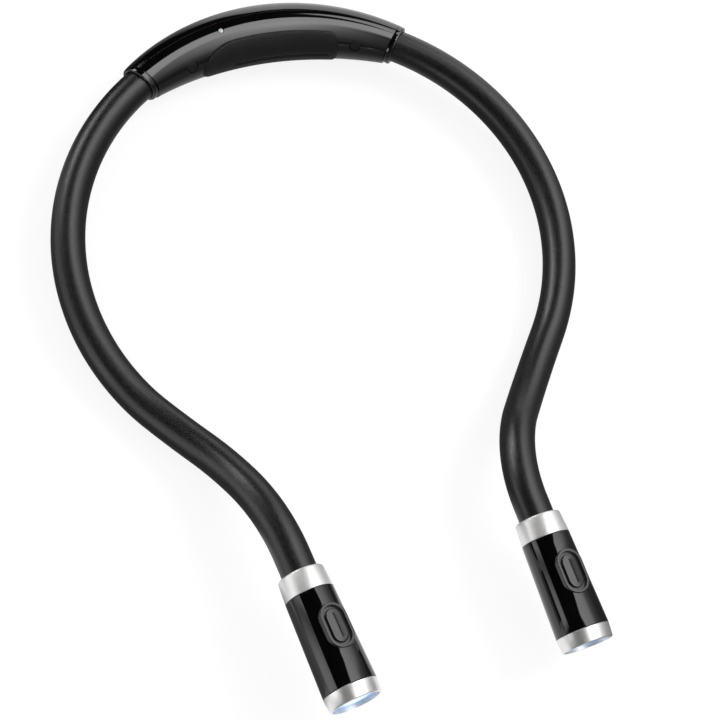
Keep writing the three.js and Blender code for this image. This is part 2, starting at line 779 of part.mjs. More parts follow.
// A whole arm: each section hangs in a group that sits at its hinge, inside the section before it
function flexibleArm(arm) {
  const group = new THREE.Group();
  let parent = group;
  let parentFrame = new THREE.Matrix4();
  for (let index = 0; index <= hingeCount; index++) {
    const home = armFrame(arm, index === 0 ? 0 : hingePlaces[index - 1]);
    const section = new THREE.Group();
    section.name = `${arm.name}_hinge_${index}`;
    section.applyMatrix4(parentFrame.clone().invert().multiply(home));
    const sleeve = bendAlongArm(turned(sleeveProfile(index), armSides), arm, home);
    const core = bendAlongArm(turned(coreProfile(index), coreSides), arm, home);
    section.add(piece(`${arm.name}_sleeve_${index}`, sleeve, matteBlack));
    section.add(piece(`${arm.name}_core_${index}`, core, steel));
    parent.add(section);
    parent = section;
    parentFrame = home;
  }
  const head = lampHead(arm.name);
  const headFrame = armFrame(arm, armLength).multiply(new THREE.Matrix4().makeRotationY(-arm.headRoll));
  head.applyMatrix4(parentFrame.clone().invert().multiply(headFrame));
  parent.add(head);
  const ring = piece(`${arm.name}_end_ring`, endRingGeometry(), glossBlack);
  ring.rotateZ(-arm.side * housingEndTilt);
  ring.applyMatrix4(armFrame(arm, 0));
  group.add(ring);
  return group;
}

function neckHousing() {
  const housing = new THREE.Group();
  housing.add(piece('outer_shell', outerShellGeometry(), glossBlack));
  housing.add(piece('inner_shell', innerShellGeometry(), glossBlack));
  housing.add(piece('neck_pad', padBody(0), padBlack));
  housing.add(piece('left_screw', screwGeometry(leftScrewPlace), steel));
  housing.add(piece('right_screw', screwGeometry(rightScrewPlace), steel));
  housing.add(piece('left_screw_plug', plugGeometry(leftScrewPlace), padBlack));
  housing.add(piece('right_screw_plug', plugGeometry(rightScrewPlace), padBlack));
  const lightPipe = geometryOf(indicatorRod(indicatorRadius, indicatorReach, 0));
  housing.add(piece('light_pipe', lightPipe, clearPlastic));
  housing.add(piece('battery', batteryGeometry(), cellBlue));
  housing.add(piece('charge_board', boardGeometry(), boardGreen));
  housing.add(piece('charge_socket', socketGeometry(), steel));
  return housing;
}

// The slope at which the loop lies on a table: the housing is thicker than the arms, so the arms
// come down from its underside until they touch
function restSlope() {
  const lowest = -housingSag - housingHalfHeight;
  const reached = arms.flatMap(arm => arm.walk).filter(point => point.y < -housingArcRadius / 2);
  return Math.min(...reached.map(point => Math.atan2(point.z - armRadius - lowest, -point.y)));
}

const light = new THREE.Group();
const loop = new THREE.Group();
loop.add(neckHousing(), ...arms.map(flexibleArm));
loop.rotation.x = restSlope();
light.add(loop);
light.updateMatrixWorld(true);
const box = new THREE.Box3().setFromObject(light, true);
loop.position.set(-(box.min.x + box.max.x) / 2, -(box.min.y + box.max.y) / 2, -box.min.z);

export default light;
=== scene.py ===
# Looks of the neck-worn reading light: fine pieces, materials, stage and camera.
# The part's sizes are in millimetres in the loop's own frame: x to the right, y away from the
# heads and z up, square to the loop. to_row() turns them into metres in the frame of the CAD.
# The stage is written in metres in the frame of the CAD.

import math
from math import radians

import bmesh
import bpy
import numpy as np
from mathutils import Matrix, Vector

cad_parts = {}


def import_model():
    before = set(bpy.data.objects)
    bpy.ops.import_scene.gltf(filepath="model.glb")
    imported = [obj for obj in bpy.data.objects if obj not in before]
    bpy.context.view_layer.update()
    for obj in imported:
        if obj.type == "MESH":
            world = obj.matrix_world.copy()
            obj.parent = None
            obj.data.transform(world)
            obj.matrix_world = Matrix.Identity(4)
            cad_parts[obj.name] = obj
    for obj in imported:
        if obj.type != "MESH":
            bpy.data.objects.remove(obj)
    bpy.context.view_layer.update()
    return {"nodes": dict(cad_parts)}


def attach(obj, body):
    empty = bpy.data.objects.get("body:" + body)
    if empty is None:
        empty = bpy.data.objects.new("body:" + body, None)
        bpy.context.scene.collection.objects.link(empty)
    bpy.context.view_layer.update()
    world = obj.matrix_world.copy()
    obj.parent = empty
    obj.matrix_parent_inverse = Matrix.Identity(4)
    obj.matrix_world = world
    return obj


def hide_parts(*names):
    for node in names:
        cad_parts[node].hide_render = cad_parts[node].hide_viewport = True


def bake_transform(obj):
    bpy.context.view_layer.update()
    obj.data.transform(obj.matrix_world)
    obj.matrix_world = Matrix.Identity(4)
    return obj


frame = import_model()

MM = 0.001
SIDES = {"left": -1, "right": 1}
X_AXIS, Y_AXIS, UP = np.eye(3)
SHARP = 32.0  # edges that turn by more degrees than this stay sharp
NORMAL_TOLERANCE = radians(28)  # between a face and the true normal that its corners may take


# ---------------------------------------------------------------- the loop's frame and the housing

LOOP_ORIGIN = np.array([0.0, 122.25591427693102, 13.142704092260383])
LOOP_Y = np.array([0.0, 0.9985948999433061, 0.05299269579119809])
LOOP = np.column_stack([X_AXIS, LOOP_Y, np.cross(X_AXIS, LOOP_Y)])


def to_row(points):
    """Points of the loop's frame, in millimetres, as metres in the frame of the CAD."""
    return (np.asarray(points, float) @ LOOP.T + LOOP_ORIGIN) * MM


def row_point(point):
    return tuple(to_row(point))


# The housing follows an arc; places on it are lengths along the arc from its middle

ARC_RADIUS = 88.0
HALF_ANGLE = radians(34.5)
HALF_ARC = ARC_RADIUS * HALF_ANGLE
HALF_WIDTH = 10.5
HALF_HEIGHT = 11.2
END_RADIUS = 7.4
SAG = 2.0  # drop of the middle below the ends
WALL = 1.8
END_WALL = 1.1
SEAM = 2.0  # from the section's centre away from the neck
END_TILT = radians(6.5)
RING_LENGTH = 2.2
RING_GAP = 0.3
SHELL_HALF_ARC = HALF_ARC - RING_LENGTH - RING_GAP
END_LEAN = END_TILT + (RING_LENGTH + RING_GAP) / ARC_RADIUS

LEFT_SCREW = 20 - HALF_ARC
RIGHT_SCREW = HALF_ARC - 16
SCREW_ANGLE = radians(29)
PLUG_RADIUS = 2.0
PAD_START_ROUND = 16.0
PAD_START_GAP = 2.1
PAD_END_ROUND = 4.0
PAD_END_GAP = 4.5
PAD_START = LEFT_SCREW + PLUG_RADIUS + PAD_START_GAP + PAD_START_ROUND
PAD_END = RIGHT_SCREW - PLUG_RADIUS - PAD_END_GAP - PAD_END_ROUND
PAD_HALF_ANGLE = radians(56)
PAD_PROUD = 0.5
PAD_DEPTH = 0.6
INDICATOR = -17.0
INDICATOR_OFFSET = 1.4
SOCKET_Z = -2.3
SOCKET_MOUTH = 9.8
LAND = 10.0  # flat face round the inlet
FAR = 14.0  # outside the housing, from its centre


def lerp(a, b, t):
    return a + (b - a) * t


def section(place):
    """The housing's section at places along its centre line, as arrays."""
    place = np.asarray(place, float)
    angle = place / ARC_RADIUS
    swell = 1 - (place / HALF_ARC) ** 2
    zero = np.zeros_like(angle)
    outward = np.stack([np.sin(angle), np.cos(angle), zero], -1)
    tangent = np.stack([np.cos(angle), -np.sin(angle), zero], -1)
    lean = math.tan(END_LEAN) * (place / SHELL_HALF_ARC) ** 3
    back = -ARC_RADIUS * (1 - np.cos(angle))
    centre = np.stack([ARC_RADIUS * np.sin(angle), back, -SAG * swell], -1)
    return {
        "centre": centre,
        "outward": outward,
        "across": outward + tangent * lean[..., None],
        "width": lerp(END_RADIUS, HALF_WIDTH, swell),
        "height": lerp(END_RADIUS, HALF_HEIGHT, swell),
        "wall": lerp(END_WALL, WALL, swell),
    }


def on_section(s, x, z):
    """Points of the section's plane: x away from the neck, z up."""
    return s["centre"] + s["across"] * np.asarray(x)[..., None] + UP * np.asarray(z)[..., None]


def skin_field(points):
    """Below 0 inside the housing's skin and above 0 outside it."""
    x, y, z = np.asarray(points, float).T
    angle = np.arctan2(x, y + ARC_RADIUS)
    out = np.hypot(x, y + ARC_RADIUS) - ARC_RADIUS
    place = ARC_RADIUS * angle
    for _ in range(3):
        lean = math.tan(END_LEAN) * (place / SHELL_HALF_ARC) ** 3
        place = ARC_RADIUS * (angle - out * lean / (ARC_RADIUS + out))
    s = section(place)
    height = z - s["centre"][..., 2]
    return (out / s["width"]) ** 2 + (height / s["height"]) ** 2 - 1


def skin_normal(points):
    points = np.asarray(points, float)
    step = 0.01
    parts = []
    for axis in np.eye(3):
        parts.append(skin_field(points + step * axis) - skin_field(points - step * axis))
    gradient = np.stack(parts, -1)
    return gradient / np.linalg.norm(gradient, axis=-1, keepdims=True)


def skin_along(origins, direction):
    """How far from each origin, along a direction, the housing's skin is."""
    low = np.zeros(len(origins))
    high = np.full(len(origins), FAR)
    for _ in range(40):
        middle = (low + high) / 2
        inside = skin_field(origins + middle[:, None] * direction) < 0
        low = np.where(inside, middle, low)
        high = np.where(inside, high, middle)
    return (low + high) / 2


# ---------------------------------------------------------------- the arms' centre line and the heads

ARM_RADIUS = 6.0
ARM_LENGTH = 221.3
HINGE_COUNT = 6
FIRST_HINGE = 0.65  # in steps between hinges
HINGE_STEP = ARM_LENGTH / (HINGE_COUNT + FIRST_HINGE)
HINGES = [HINGE_STEP * (i + FIRST_HINGE) for i in range(HINGE_COUNT)]
ARM_ROOT = 8.0  # hidden in the housing
ARM_TIP = 3.9  # hidden in the collar
WALK = 400

# Bends, and where they start and end as shares of an arm's length
WRAP, WRAP_END = radians(92), 0.645
SWEEP_END = 0.97
RISE, RISE_START, RISE_END, LEVEL_START = radians(23.3), 0.6, 0.829, 0.963
# By side: where the sweep starts, the sweep and the head's slope
SWEEPS = {-1: (0.735, radians(28.2), radians(4.5)), 1: (0.811, radians(41), radians(0.5))}


def covered(place, start, end):
    return min(max((place - start) / (end - start), 0.0), 1.0)


def arm_direction(side, place):
    """Direction of an arm's centre line at a share of its length, drawn as on the right."""
    sweep_start, sweep, head_slope = SWEEPS[side]
    heading = HALF_ANGLE + WRAP * covered(place, 0, WRAP_END)
    heading = heading - sweep * covered(place, sweep_start, SWEEP_END)
    slope = RISE * covered(place, RISE_START, RISE_END)
    slope = slope - (RISE - head_slope) * covered(place, RISE_END, LEVEL_START)
    level = math.cos(slope)
    return np.array([math.cos(heading) * level, -math.sin(heading) * level, math.sin(slope)])


def walk_arm(side):
    walk = [section(HALF_ARC)["centre"]]
    for i in range(WALK):
        walk.append(walk[-1] + arm_direction(side, (i + 0.5) / WALK) * ARM_LENGTH / WALK)
    return walk


walks = {side: walk_arm(side) for side in SIDES.values()}


def arm_frame(side, distance):
    """Columns side, direction, up and origin of the arm at a distance; straight past both ends."""
    walk = walks[side]
    within = min(max(distance, 0.0), ARM_LENGTH)
    step = within / ARM_LENGTH * WALK
    before = min(int(step), WALK - 1)
    point = walk[before] + (walk[before + 1] - walk[before]) * (step - before)
    direction = arm_direction(side, within / ARM_LENGTH)
    point = point + direction * (distance - within)
    mirror = np.array([side, 1.0, 1.0])
    point, direction = point * mirror, direction * mirror
    across = np.cross(direction, UP)
    across /= np.linalg.norm(across)
    return across, direction, np.cross(across, direction), point


def head_place(side, points):
    """Points given across, along and above a lamp head's axis, in the loop's frame."""
    across, direction, up, origin = arm_frame(side, ARM_LENGTH)
    points = np.asarray(points, float)
    return origin + points[..., :1] * across + points[..., 1:2] * direction + points[..., 2:3] * up


# ---------------------------------------------------------------- meshes

def linked(name, data):
    """An object of the scene with the given mesh, light or camera."""
    made = bpy.data.objects.new(name, data)
    bpy.context.scene.collection.objects.link(made)
    return made


def mesh_object(name, points, faces, normals=None, sharp=SHARP):
    """A smooth mesh object, faces outwards, from points in the loop's frame."""
    mesh = bpy.data.meshes.new(name)
    mesh.from_pydata(to_row(points).tolist(), [], [list(map(int, f)) for f in faces])
    mesh.validate()
    mesh.update()
    work = bmesh.new()
    work.from_mesh(mesh)
    bmesh.ops.recalc_face_normals(work, faces=work.faces)
    work.to_mesh(mesh)
    work.free()
    shape_normals(mesh, normals, sharp)
    return linked(name, mesh)


def read(data, name, width=1, kind=float):
    """A property of all a mesh's points, corners or faces as an array."""
    values = np.zeros(len(data) * width, kind)
    data.foreach_get(name, values)
    return values.reshape(-1, width) if width > 1 else values


def shape_normals(mesh, normals, sharp=SHARP):
    """Smooth shading. normals(points) gives the true normals and where they hold."""
    mesh.shade_smooth()
    mesh.set_sharp_from_angle(angle=radians(sharp))
    if normals is None:
        return
    wanted, valid = normals((read(mesh.vertices, "co", 3) / MM - LOOP_ORIGIN) @ LOOP)
    corner_vertex = read(mesh.loops, "vertex_index", 1, int)
    target = (wanted @ LOOP.T)[corner_vertex]
    sides = read(mesh.polygons, "loop_total", 1, int)
    flat = np.repeat(read(mesh.polygons, "normal", 3), sides, axis=0)
    agrees = valid[corner_vertex] & ((flat * target).sum(-1) > math.cos(NORMAL_TOLERANCE))
    final = np.where(agrees[:, None], target, read(mesh.corner_normals, "vector", 3))
    mesh.normals_split_custom_set(final.tolist())


def tube_faces(rows, columns, wrap_rows=False):
    """Quads over a grid whose columns, and if asked its rows, close on themselves."""
    faces = []
    for r in range(rows if wrap_rows else rows - 1):
        for c in range(columns):
            d = (c + 1) % columns
            n = (r + 1) % rows
            faces.append((r * columns + c, r * columns + d, n * columns + d, n * columns + c))
    return faces


def lofted(name, rings, normals=None, sharp=SHARP):
    """A solid through rings of points; each ring closes on itself."""
    rings = np.asarray(rings, float)
    rows, columns = rings.shape[:2]
    faces = tube_faces(rows, columns)
    faces.append(tuple(range(columns))[::-1])
    faces.append(tuple((rows - 1) * columns + c for c in range(columns)))
    return mesh_object(name, rings.reshape(-1, 3), faces, normals, sharp)


def rounded(corners, steps):
    """A profile from (radius, along, round) corners, each rounded with an arc."""
    points = []
    count = len(corners)
    for i, (r, y, size) in enumerate(corners):
        here = np.array([r, y], float)
        if size <= 0:
            points.append(here)
            continue
        before = np.array(corners[(i - 1) % count][:2], float) - here
        after = np.array(corners[(i + 1) % count][:2], float) - here
        before /= np.linalg.norm(before)
        after /= np.linalg.norm(after)
        turn = math.acos(max(-1, min(1, float(before @ after))))
        reach = size / math.tan(turn / 2)
        start, end = here + before * reach, here + after * reach
        inward = before + after
        inward /= np.linalg.norm(inward)
        centre = here + inward * size / math.sin(turn / 2)
        a0 = math.atan2(*(start - centre)[::-1])
        a1 = math.atan2(*(end - centre)[::-1])
        sweep = (a1 - a0 + math.pi) % (2 * math.pi) - math.pi
        for k in range(steps + 1):
            a = a0 + sweep * k / steps
            points.append(centre + size * np.array([math.cos(a), math.sin(a)]))
    return np.array(points)


def circle(count, a, b):
    """Points round a circle of radius 1 from direction a towards direction b."""
    turns = np.arange(count) * 2 * math.pi / count
    return np.cos(turns)[:, None] * a + np.sin(turns)[:, None] * b


def turned(name, profile, place, sides=128):
    """A turned piece. place(points) sets across, along and above an axis into the loop's frame."""
    ring = circle(sides, UP, X_AXIS)
    points = np.concatenate([place(ring * r + Y_AXIS * y) for r, y in profile])
    return mesh_object(name, points, tube_faces(len(profile), sides, wrap_rows=True))


def apply_cuts(made, cutters, normals):
    """Cuts pieces out of a mesh and drops the cutters."""
    for cutter in cutters:
        modifier = made.modifiers.new("cut", "BOOLEAN")
        modifier.operation = "DIFFERENCE"
        modifier.solver = "EXACT"
        modifier.object = cutter
    bpy.context.view_layer.update()
    graph = bpy.context.evaluated_depsgraph_get()
    result = bpy.data.meshes.new_from_object(made.evaluated_get(graph))
    made.modifiers.clear()
    made.data = result
    for cutter in cutters:
        bpy.data.objects.remove(cutter)
    shape_normals(result, normals)


def stadium(length, width, count):
    """Outline of a round-ended plate, long side along the second axis."""
    half = (length - width) / 2
    one = np.linspace(0, math.pi, count)
    top = np.stack([np.cos(one), np.sin(one)], -1) * width / 2 + [0, half]
    bottom = np.stack([np.cos(one + math.pi), np.sin(one + math.pi)], -1) * width / 2 - [0, half]
    return np.concatenate([top, bottom])


def evenly(a, b, n):
    return np.linspace(a, b, n + 1)


# ---------------------------------------------------------------- materials

def node(tree, kind, **values):
    made = tree.nodes.new(kind)
    for key, value in values.items():
        setattr(made, key, value)
    return made


def noise(tree, coords, scale, detail):
    made = node(tree, "ShaderNodeTexNoise")
    made.inputs["Scale"].default_value = scale
    made.inputs["Detail"].default_value = detail
    tree.links.new(coords, made.inputs["Vector"])
    return made.outputs["Fac"]


def spread(tree, source, low, high, new_low, new_high):
    """Carries a range of values over to another one."""
    made = node(tree, "ShaderNodeMapRange", clamp=True)
    for key, value in (("From Min", low), ("From Max", high), ("To Min", new_low), ("To Max", new_high)):
        made.inputs[key].default_value = value
    tree.links.new(source, made.inputs["Value"])
    return made.outputs["Result"]


def ramp(tree, source, stops):
    made = node(tree, "ShaderNodeValToRGB")
    while len(made.color_ramp.elements) < len(stops):
        made.color_ramp.elements.new(0.5)
    for element, (at, colour) in zip(made.color_ramp.elements, stops):
        element.position = at
        element.color = (*colour, 1.0)
    tree.links.new(source, made.inputs["Fac"])
    return made.outputs["Color"]


def bump(tree, height, strength, distance):
    made = node(tree, "ShaderNodeBump")
    made.inputs["Strength"].default_value = strength
    made.inputs["Distance"].default_value = distance
    tree.links.new(height, made.inputs["Height"])
    return made.outputs["Normal"]


def empty_material(name):
    """A material with its node tree, its shader and the object's coordinates."""
    made = bpy.data.materials.new(name)
    made.use_nodes = True
    tree = made.node_tree
    return made, tree, tree.nodes["Principled BSDF"], node(tree, "ShaderNodeTexCoord").outputs["Object"]


def material(name, dark, light, rough, grain, depth, strength, patch=120.0, metal=0.0, ior=1.5,
             spread_rough=0.25):
    """A moulded or finished surface: patches of colour, and grain in roughness and bump.

    grain and patch are noise scales per metre, depth is the grain's in metres.
    """
    made, tree, shader, coords = empty_material(name)
    fine = noise(tree, coords, grain, 2.0)
    colour = ramp(tree, noise(tree, coords, patch, 3.0), [(0.35, dark), (0.65, light)])
    tree.links.new(colour, shader.inputs["Base Color"])
    low, high = rough * (1 - spread_rough), rough * (1 + spread_rough)
    tree.links.new(spread(tree, fine, 0.3, 0.7, low, high), shader.inputs["Roughness"])
    tree.links.new(bump(tree, fine, strength, depth), shader.inputs["Normal"])
    shader.inputs["Metallic"].default_value = metal
    shader.inputs["IOR"].default_value = ior
    return made


def grey(value):
    """A neutral colour, a little bluish."""
    return (value, value, value * 1.04)


shell_gloss = material(
    "shell_gloss", grey(0.0022), grey(0.0034), 0.055, 900.0, 0.00002, 0.03, ior=1.75, spread_rough=0.3)
barrel_gloss = material(
    "barrel_gloss", grey(0.0022), grey(0.0034), 0.06, 900.0, 0.00002, 0.03, ior=1.58, spread_rough=0.3)
pad_rubber = material("pad_rubber", grey(0.0035), grey(0.0055), 0.62, 2600.0, 0.00006, 0.5)
plug_rubber = material("plug_rubber", grey(0.003), grey(0.0045), 0.5, 2400.0, 0.00004, 0.3)
arm_rubber = material(
    "arm_rubber", grey(0.0036), grey(0.0050), 0.35, 2600.0, 0.00005, 0.35, patch=60.0, ior=1.6)
control_black = material("control_black", grey(0.026), grey(0.032), 0.24, 3000.0, 0.00002, 0.12, ior=1.62)
cap_black = material("cap_black", grey(0.012), grey(0.015), 0.13, 3000.0, 0.00001, 0.08, ior=1.62)
satin_silver = material(
    "satin_silver", (0.85, 0.845, 0.83), (0.89, 0.885, 0.87), 0.36, 7000.0, 0.00002, 0.1,
    metal=0.85, spread_rough=0.1)
pale_silver = material(
    "pale_silver", (0.91, 0.905, 0.89), (0.94, 0.935, 0.92), 0.36, 7000.0, 0.00002, 0.1,
    metal=0.62, spread_rough=0.1)
core_steel = material("core_steel", grey(0.42), grey(0.5), 0.4, 1800.0, 0.00005, 0.3, metal=1.0)
screw_steel = material("screw_steel", grey(0.40), grey(0.52), 0.35, 1500.0, 0.00005, 0.3, metal=1.0)
socket_steel = material("socket_steel", grey(0.50), grey(0.6), 0.28, 2600.0, 0.00003, 0.2, metal=1.0)
contact_gold = material(
    "contact_gold", (0.75, 0.53, 0.22), (0.85, 0.62, 0.28), 0.25, 2600.0, 0.00003, 0.2, metal=1.0)
board_green = material("board_green", (0.008, 0.05, 0.022), (0.014, 0.08, 0.034), 0.45, 1200.0, 0.00005, 0.4)
cell_wrap = material("cell_wrap", (0.02, 0.06, 0.16), (0.03, 0.08, 0.2), 0.4, 900.0, 0.00005, 0.3)
reflector_white = material("reflector_white", grey(0.8), grey(0.86), 0.3, 1500.0, 0.00004, 0.2)
slot_black = material("slot_black", grey(0.003), grey(0.005), 0.6, 2400.0, 0.00004, 0.3)


def glowing(name, centre, rim, strength, axis_point, axis, radius):
    """A lit lens: brighter in the middle and bluer at the rim, with faint clouds."""
    made, tree, shader, coords = empty_material(name)
    offset = node(tree, "ShaderNodeVectorMath", operation="SUBTRACT")
    offset.inputs[1].default_value = axis_point
    tree.links.new(coords, offset.inputs[0])
    off_axis = node(tree, "ShaderNodeVectorMath", operation="CROSS_PRODUCT")
    off_axis.inputs[1].default_value = axis
    tree.links.new(offset.outputs["Vector"], off_axis.inputs[0])
    length = node(tree, "ShaderNodeVectorMath", operation="LENGTH")
    tree.links.new(off_axis.outputs["Vector"], length.inputs[0])
    share = spread(tree, length.outputs["Value"], 0.0, radius, 0.0, 1.0)
    cloud = noise(tree, coords, 260.0, 3.0)
    mixed = node(tree, "ShaderNodeMath", operation="MULTIPLY_ADD")
    tree.links.new(cloud, mixed.inputs[0])
    mixed.inputs[1].default_value = 0.35
    tree.links.new(share, mixed.inputs[2])
    colour = ramp(tree, mixed.outputs["Value"], [(0.45, centre), (1.0, rim)])
    tree.links.new(colour, shader.inputs["Emission Color"])
    tree.links.new(colour, shader.inputs["Base Color"])
    shader.inputs["Emission Strength"].default_value = strength
    shader.inputs["Roughness"].default_value = 0.35
    shader.inputs["IOR"].default_value = 1.15
    return made


def make_pipe_painted_highlight():
    """The charge indicator's clear plastic, painted pale grey-white: a painted highlight of the clear dome.
    """
    made, tree, shader, coords = empty_material("clear_pipe")
    cloud = noise(tree, coords, 1400.0, 2.0)
    # Pale grey-white with paler cloudy spots: painted highlight on the clear dome.
    tree.links.new(ramp(tree, cloud, [(0.3, (0.62, 0.66, 0.70)), (0.7, (0.78, 0.82, 0.86))]),
                   shader.inputs["Base Color"])
    tree.links.new(spread(tree, cloud, 0.3, 0.7, 0.04, 0.1), shader.inputs["Roughness"])
    shader.inputs["IOR"].default_value = 1.49
    shader.inputs["Coat Weight"].default_value = 1.0
    return made


clear_pipe = make_pipe_painted_highlight()

# Finishes of the CAD nodes that stay, by a word in their names
NODE_LOOKS = {
    "core": core_steel,
    "screw": screw_steel,
    "lamp_board": board_green,
    "charge_board": board_green,
    "battery": cell_wrap,
    "switch": socket_steel,
    "reflector": reflector_white,
}


def dress_node(name):
    for key, look in NODE_LOOKS.items():
        if key in name:
            for place in frame["nodes"][name].material_slots:
                place.link = "OBJECT"
                place.material = look
            return


def finish_piece(made, look, body=None, replaces=()):
    """Gives a piece its material, its body and the nodes that it replaces."""
    made.data.materials.clear()
    made.data.materials.append(look)
    if replaces:
        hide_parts(*replaces)
    if body is not None:
        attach(made, body)
    return made


# ---------------------------------------------------------------- housing shells

SHELL_GAP = 0.012  # half of the seam between the two shells
SHELL_END = SHELL_HALF_ARC + 0.12
EDGE = 0.02  # rounding of the shells' edges
PAD_CLEARANCE = 0.18
PLUG_CLEARANCE = 0.12
INDICATOR_HOLE = 1.18
SHELL_STATIONS, SHELL_TURNS, WALL_TURNS = 110, 72, 20


def skin_normals(points):
    return skin_normal(points), np.abs(skin_field(points)) < 0.004


def half_shell(name, way):
    """One half of the housing: way is 1 for the outer shell and -1 for the one by the neck."""
    edge = SEAM * way + SHELL_GAP
    places = [(-SHELL_END, EDGE), (-SHELL_END + 0.3 * EDGE, 0.3 * EDGE), (-SHELL_END + EDGE, 0.0)]
    places += [(p, 0.0) for p in evenly(-SHELL_END + 1.0, SHELL_END - 1.0, SHELL_STATIONS)]
    places += [(-p, inset) for p, inset in places[2::-1]]
    rings = []
    for place, inset in places:
        s = section(place)
        width, height = s["width"] - inset, s["height"] - inset
        limit = math.acos((edge + EDGE) / width)
        turns = evenly(-limit, limit, SHELL_TURNS)
        x = width * np.cos(turns)
        y = height * np.sin(turns)
        flat_x, flat_y = [], []
        top = height * math.sqrt(1 - ((edge + EDGE) / width) ** 2)
        for share, drop in ((0.3, 0.3), (0.0, 1.0)):
            flat_x.append(edge + EDGE * share)
            flat_y.append(top - EDGE * drop)
        inner_width, inner_height = s["width"] - s["wall"], s["height"] - s["wall"]
        inner_limit = math.acos(edge / inner_width)
        inner = evenly(inner_limit, -inner_limit, WALL_TURNS)
        outline_x = np.concatenate([x, flat_x, inner_width * np.cos(inner), flat_x[::-1]])
        lower = [-v for v in flat_y[::-1]]
        outline_y = np.concatenate([y, flat_y, inner_height * np.sin(inner), lower])
        rings.append(on_section(s, way * outline_x, way * outline_y))
    return lofted(name, rings)


def boxes(name, corners):
    """Boxes in one mesh, from their lowest and highest corners."""
    box_faces = [(0, 1, 3, 2), (4, 6, 7, 5), (0, 4, 5, 1), (2, 3, 7, 6), (0, 2, 6, 4), (1, 5, 7, 3)]
    points, faces = [], []
    for (x0, y0, z0), (x1, y1, z1) in corners:
        faces += [tuple(len(points) + k for k in f) for f in box_faces]
        points += [(x, y, z) for x in (x0, x1) for y in (y0, y1) for z in (z0, z1)]
    return mesh_object(name, points, faces)


def level_loft(name, stations, count):
    """A form along Y from (length, width, y) round-ended outlines, its long side level."""
    rings = []
    for length, width, y in stations:
        outline = stadium(length, width, count)
        rings.append(np.stack([outline[:, 1], np.full(len(outline), y), SOCKET_Z + outline[:, 0]], -1))
    return lofted(name, rings)


def screw_axes(place):
    """Origin of a screw, its direction towards the neck and the direction across it."""
    s = section(place)
    origin = s["centre"] + UP * (s["height"] * math.sin(SCREW_ANGLE))
    direction = -s["outward"]
    across = np.cross(direction, UP)
    return origin, direction, across / np.linalg.norm(across)


def screw_cutter(place):
    """The hole over a screw, from its head to outside the housing."""
    origin, direction, across = screw_axes(place)
    ring = circle(48, across, UP) * (PLUG_RADIUS + PLUG_CLEARANCE)
    return lofted("cutter", [origin + direction * y + ring for y in (2.7, 14.0)])


def indicator_origin():
    s = section(INDICATOR)
    return s["centre"] - s["outward"] * INDICATOR_OFFSET


def indicator_cutter():
    ring = circle(40, X_AXIS, Y_AXIS) * INDICATOR_HOLE
    return lofted("cutter", [indicator_origin() + ring + UP * z for z in (4.0, 14.0)])


def pad_rows(clearance):
    """(place, limit) rows of the pad's outline from one end to the other."""
    turns = np.linspace(radians(87), 0, 15)
    start, end = PAD_START_ROUND + clearance, PAD_END_ROUND + clearance
    rows = [(PAD_START - start * math.sin(t), PAD_HALF_ANGLE * math.cos(t)) for t in turns]
    rows += [(p, PAD_HALF_ANGLE) for p in evenly(PAD_START, PAD_END, 30)[1:-1]]
    rows += [(PAD_END + end * math.sin(t), PAD_HALF_ANGLE * math.cos(t)) for t in turns[::-1]]
    return rows


def pad_cutter():
    rings = []
    for place, limit in pad_rows(PAD_CLEARANCE):
        s = section(place)
        limit = limit + PAD_CLEARANCE / s["height"]
        turns = evenly(-limit, limit, 30)
        outline = []
        for inset, order in ((-1.5, turns), (PAD_DEPTH + 0.1, turns[::-1])):
            x = (s["width"] - inset) * np.cos(order)
            y = (s["height"] - inset) * np.sin(order)
            outline.append(np.stack([x, y], -1))
        outline = np.concatenate(outline)
        rings.append(on_section(s, -outline[:, 0], -outline[:, 1]))
    return lofted("cutter", rings)


outer_shell = half_shell("outer_shell_skin", 1)
land_cutter = boxes("cutter", [((-HALF_WIDTH * 2, LAND, -16.0), (HALF_WIDTH * 2, LAND + 3, 12.0))])
inlet = [(9.54, 3.8, 6.0), (9.54, 3.8, 9.82), (9.9, 4.16, 10.02), (9.9, 4.16, 12.0)]
slot_cutter = level_loft("cutter", inlet, 16)
apply_cuts(outer_shell, [land_cutter, slot_cutter], skin_normals)
finish_piece(outer_shell, shell_gloss, "housing", ["outer_shell"])

inner_shell = half_shell("inner_shell_skin", -1)
cutters = [pad_cutter(), screw_cutter(LEFT_SCREW), screw_cutter(RIGHT_SCREW), indicator_cutter()]
apply_cuts(inner_shell, cutters, skin_normals)
finish_piece(inner_shell, shell_gloss, "housing", ["inner_shell"])


# ---------------------------------------------------------------- neck pad

PAD_SUNK = 0.22  # outline of the soft top below the housing's skin
PAD_RISE = PAD_PROUD + 0.14
PAD_EDGE = 1.1  # width of the rounded edge
PAD_CROWN, PAD_CROWN_REACH = 0.08, 9.0


def pad_height(place, angle, width, height):
    """Height of the pad's soft top over the housing's skin."""
    b = np.abs(angle) / PAD_HALF_ANGLE
    a = np.where(place < PAD_START, (PAD_START - place) / PAD_START_ROUND, 0.0)
    a = np.where(place > PAD_END, (place - PAD_END) / PAD_END_ROUND, a)
    along = np.where(place > PAD_END, PAD_END_ROUND, PAD_START_ROUND)
    wide = PAD_HALF_ANGLE * (width + height) / 2
    q = np.hypot(a, b)
    scale = np.hypot(a * along, b * wide) / np.maximum(q, 1e-6)
    distance = np.clip((1 - q) * scale, 0, None)
    soft = np.clip(distance / PAD_EDGE, 0, 1)
    edge = np.sqrt(1 - (1 - soft) ** 2)
    crown = np.clip(distance / PAD_CROWN_REACH, 0, 1)
    return -PAD_SUNK + PAD_RISE * edge + PAD_CROWN * crown


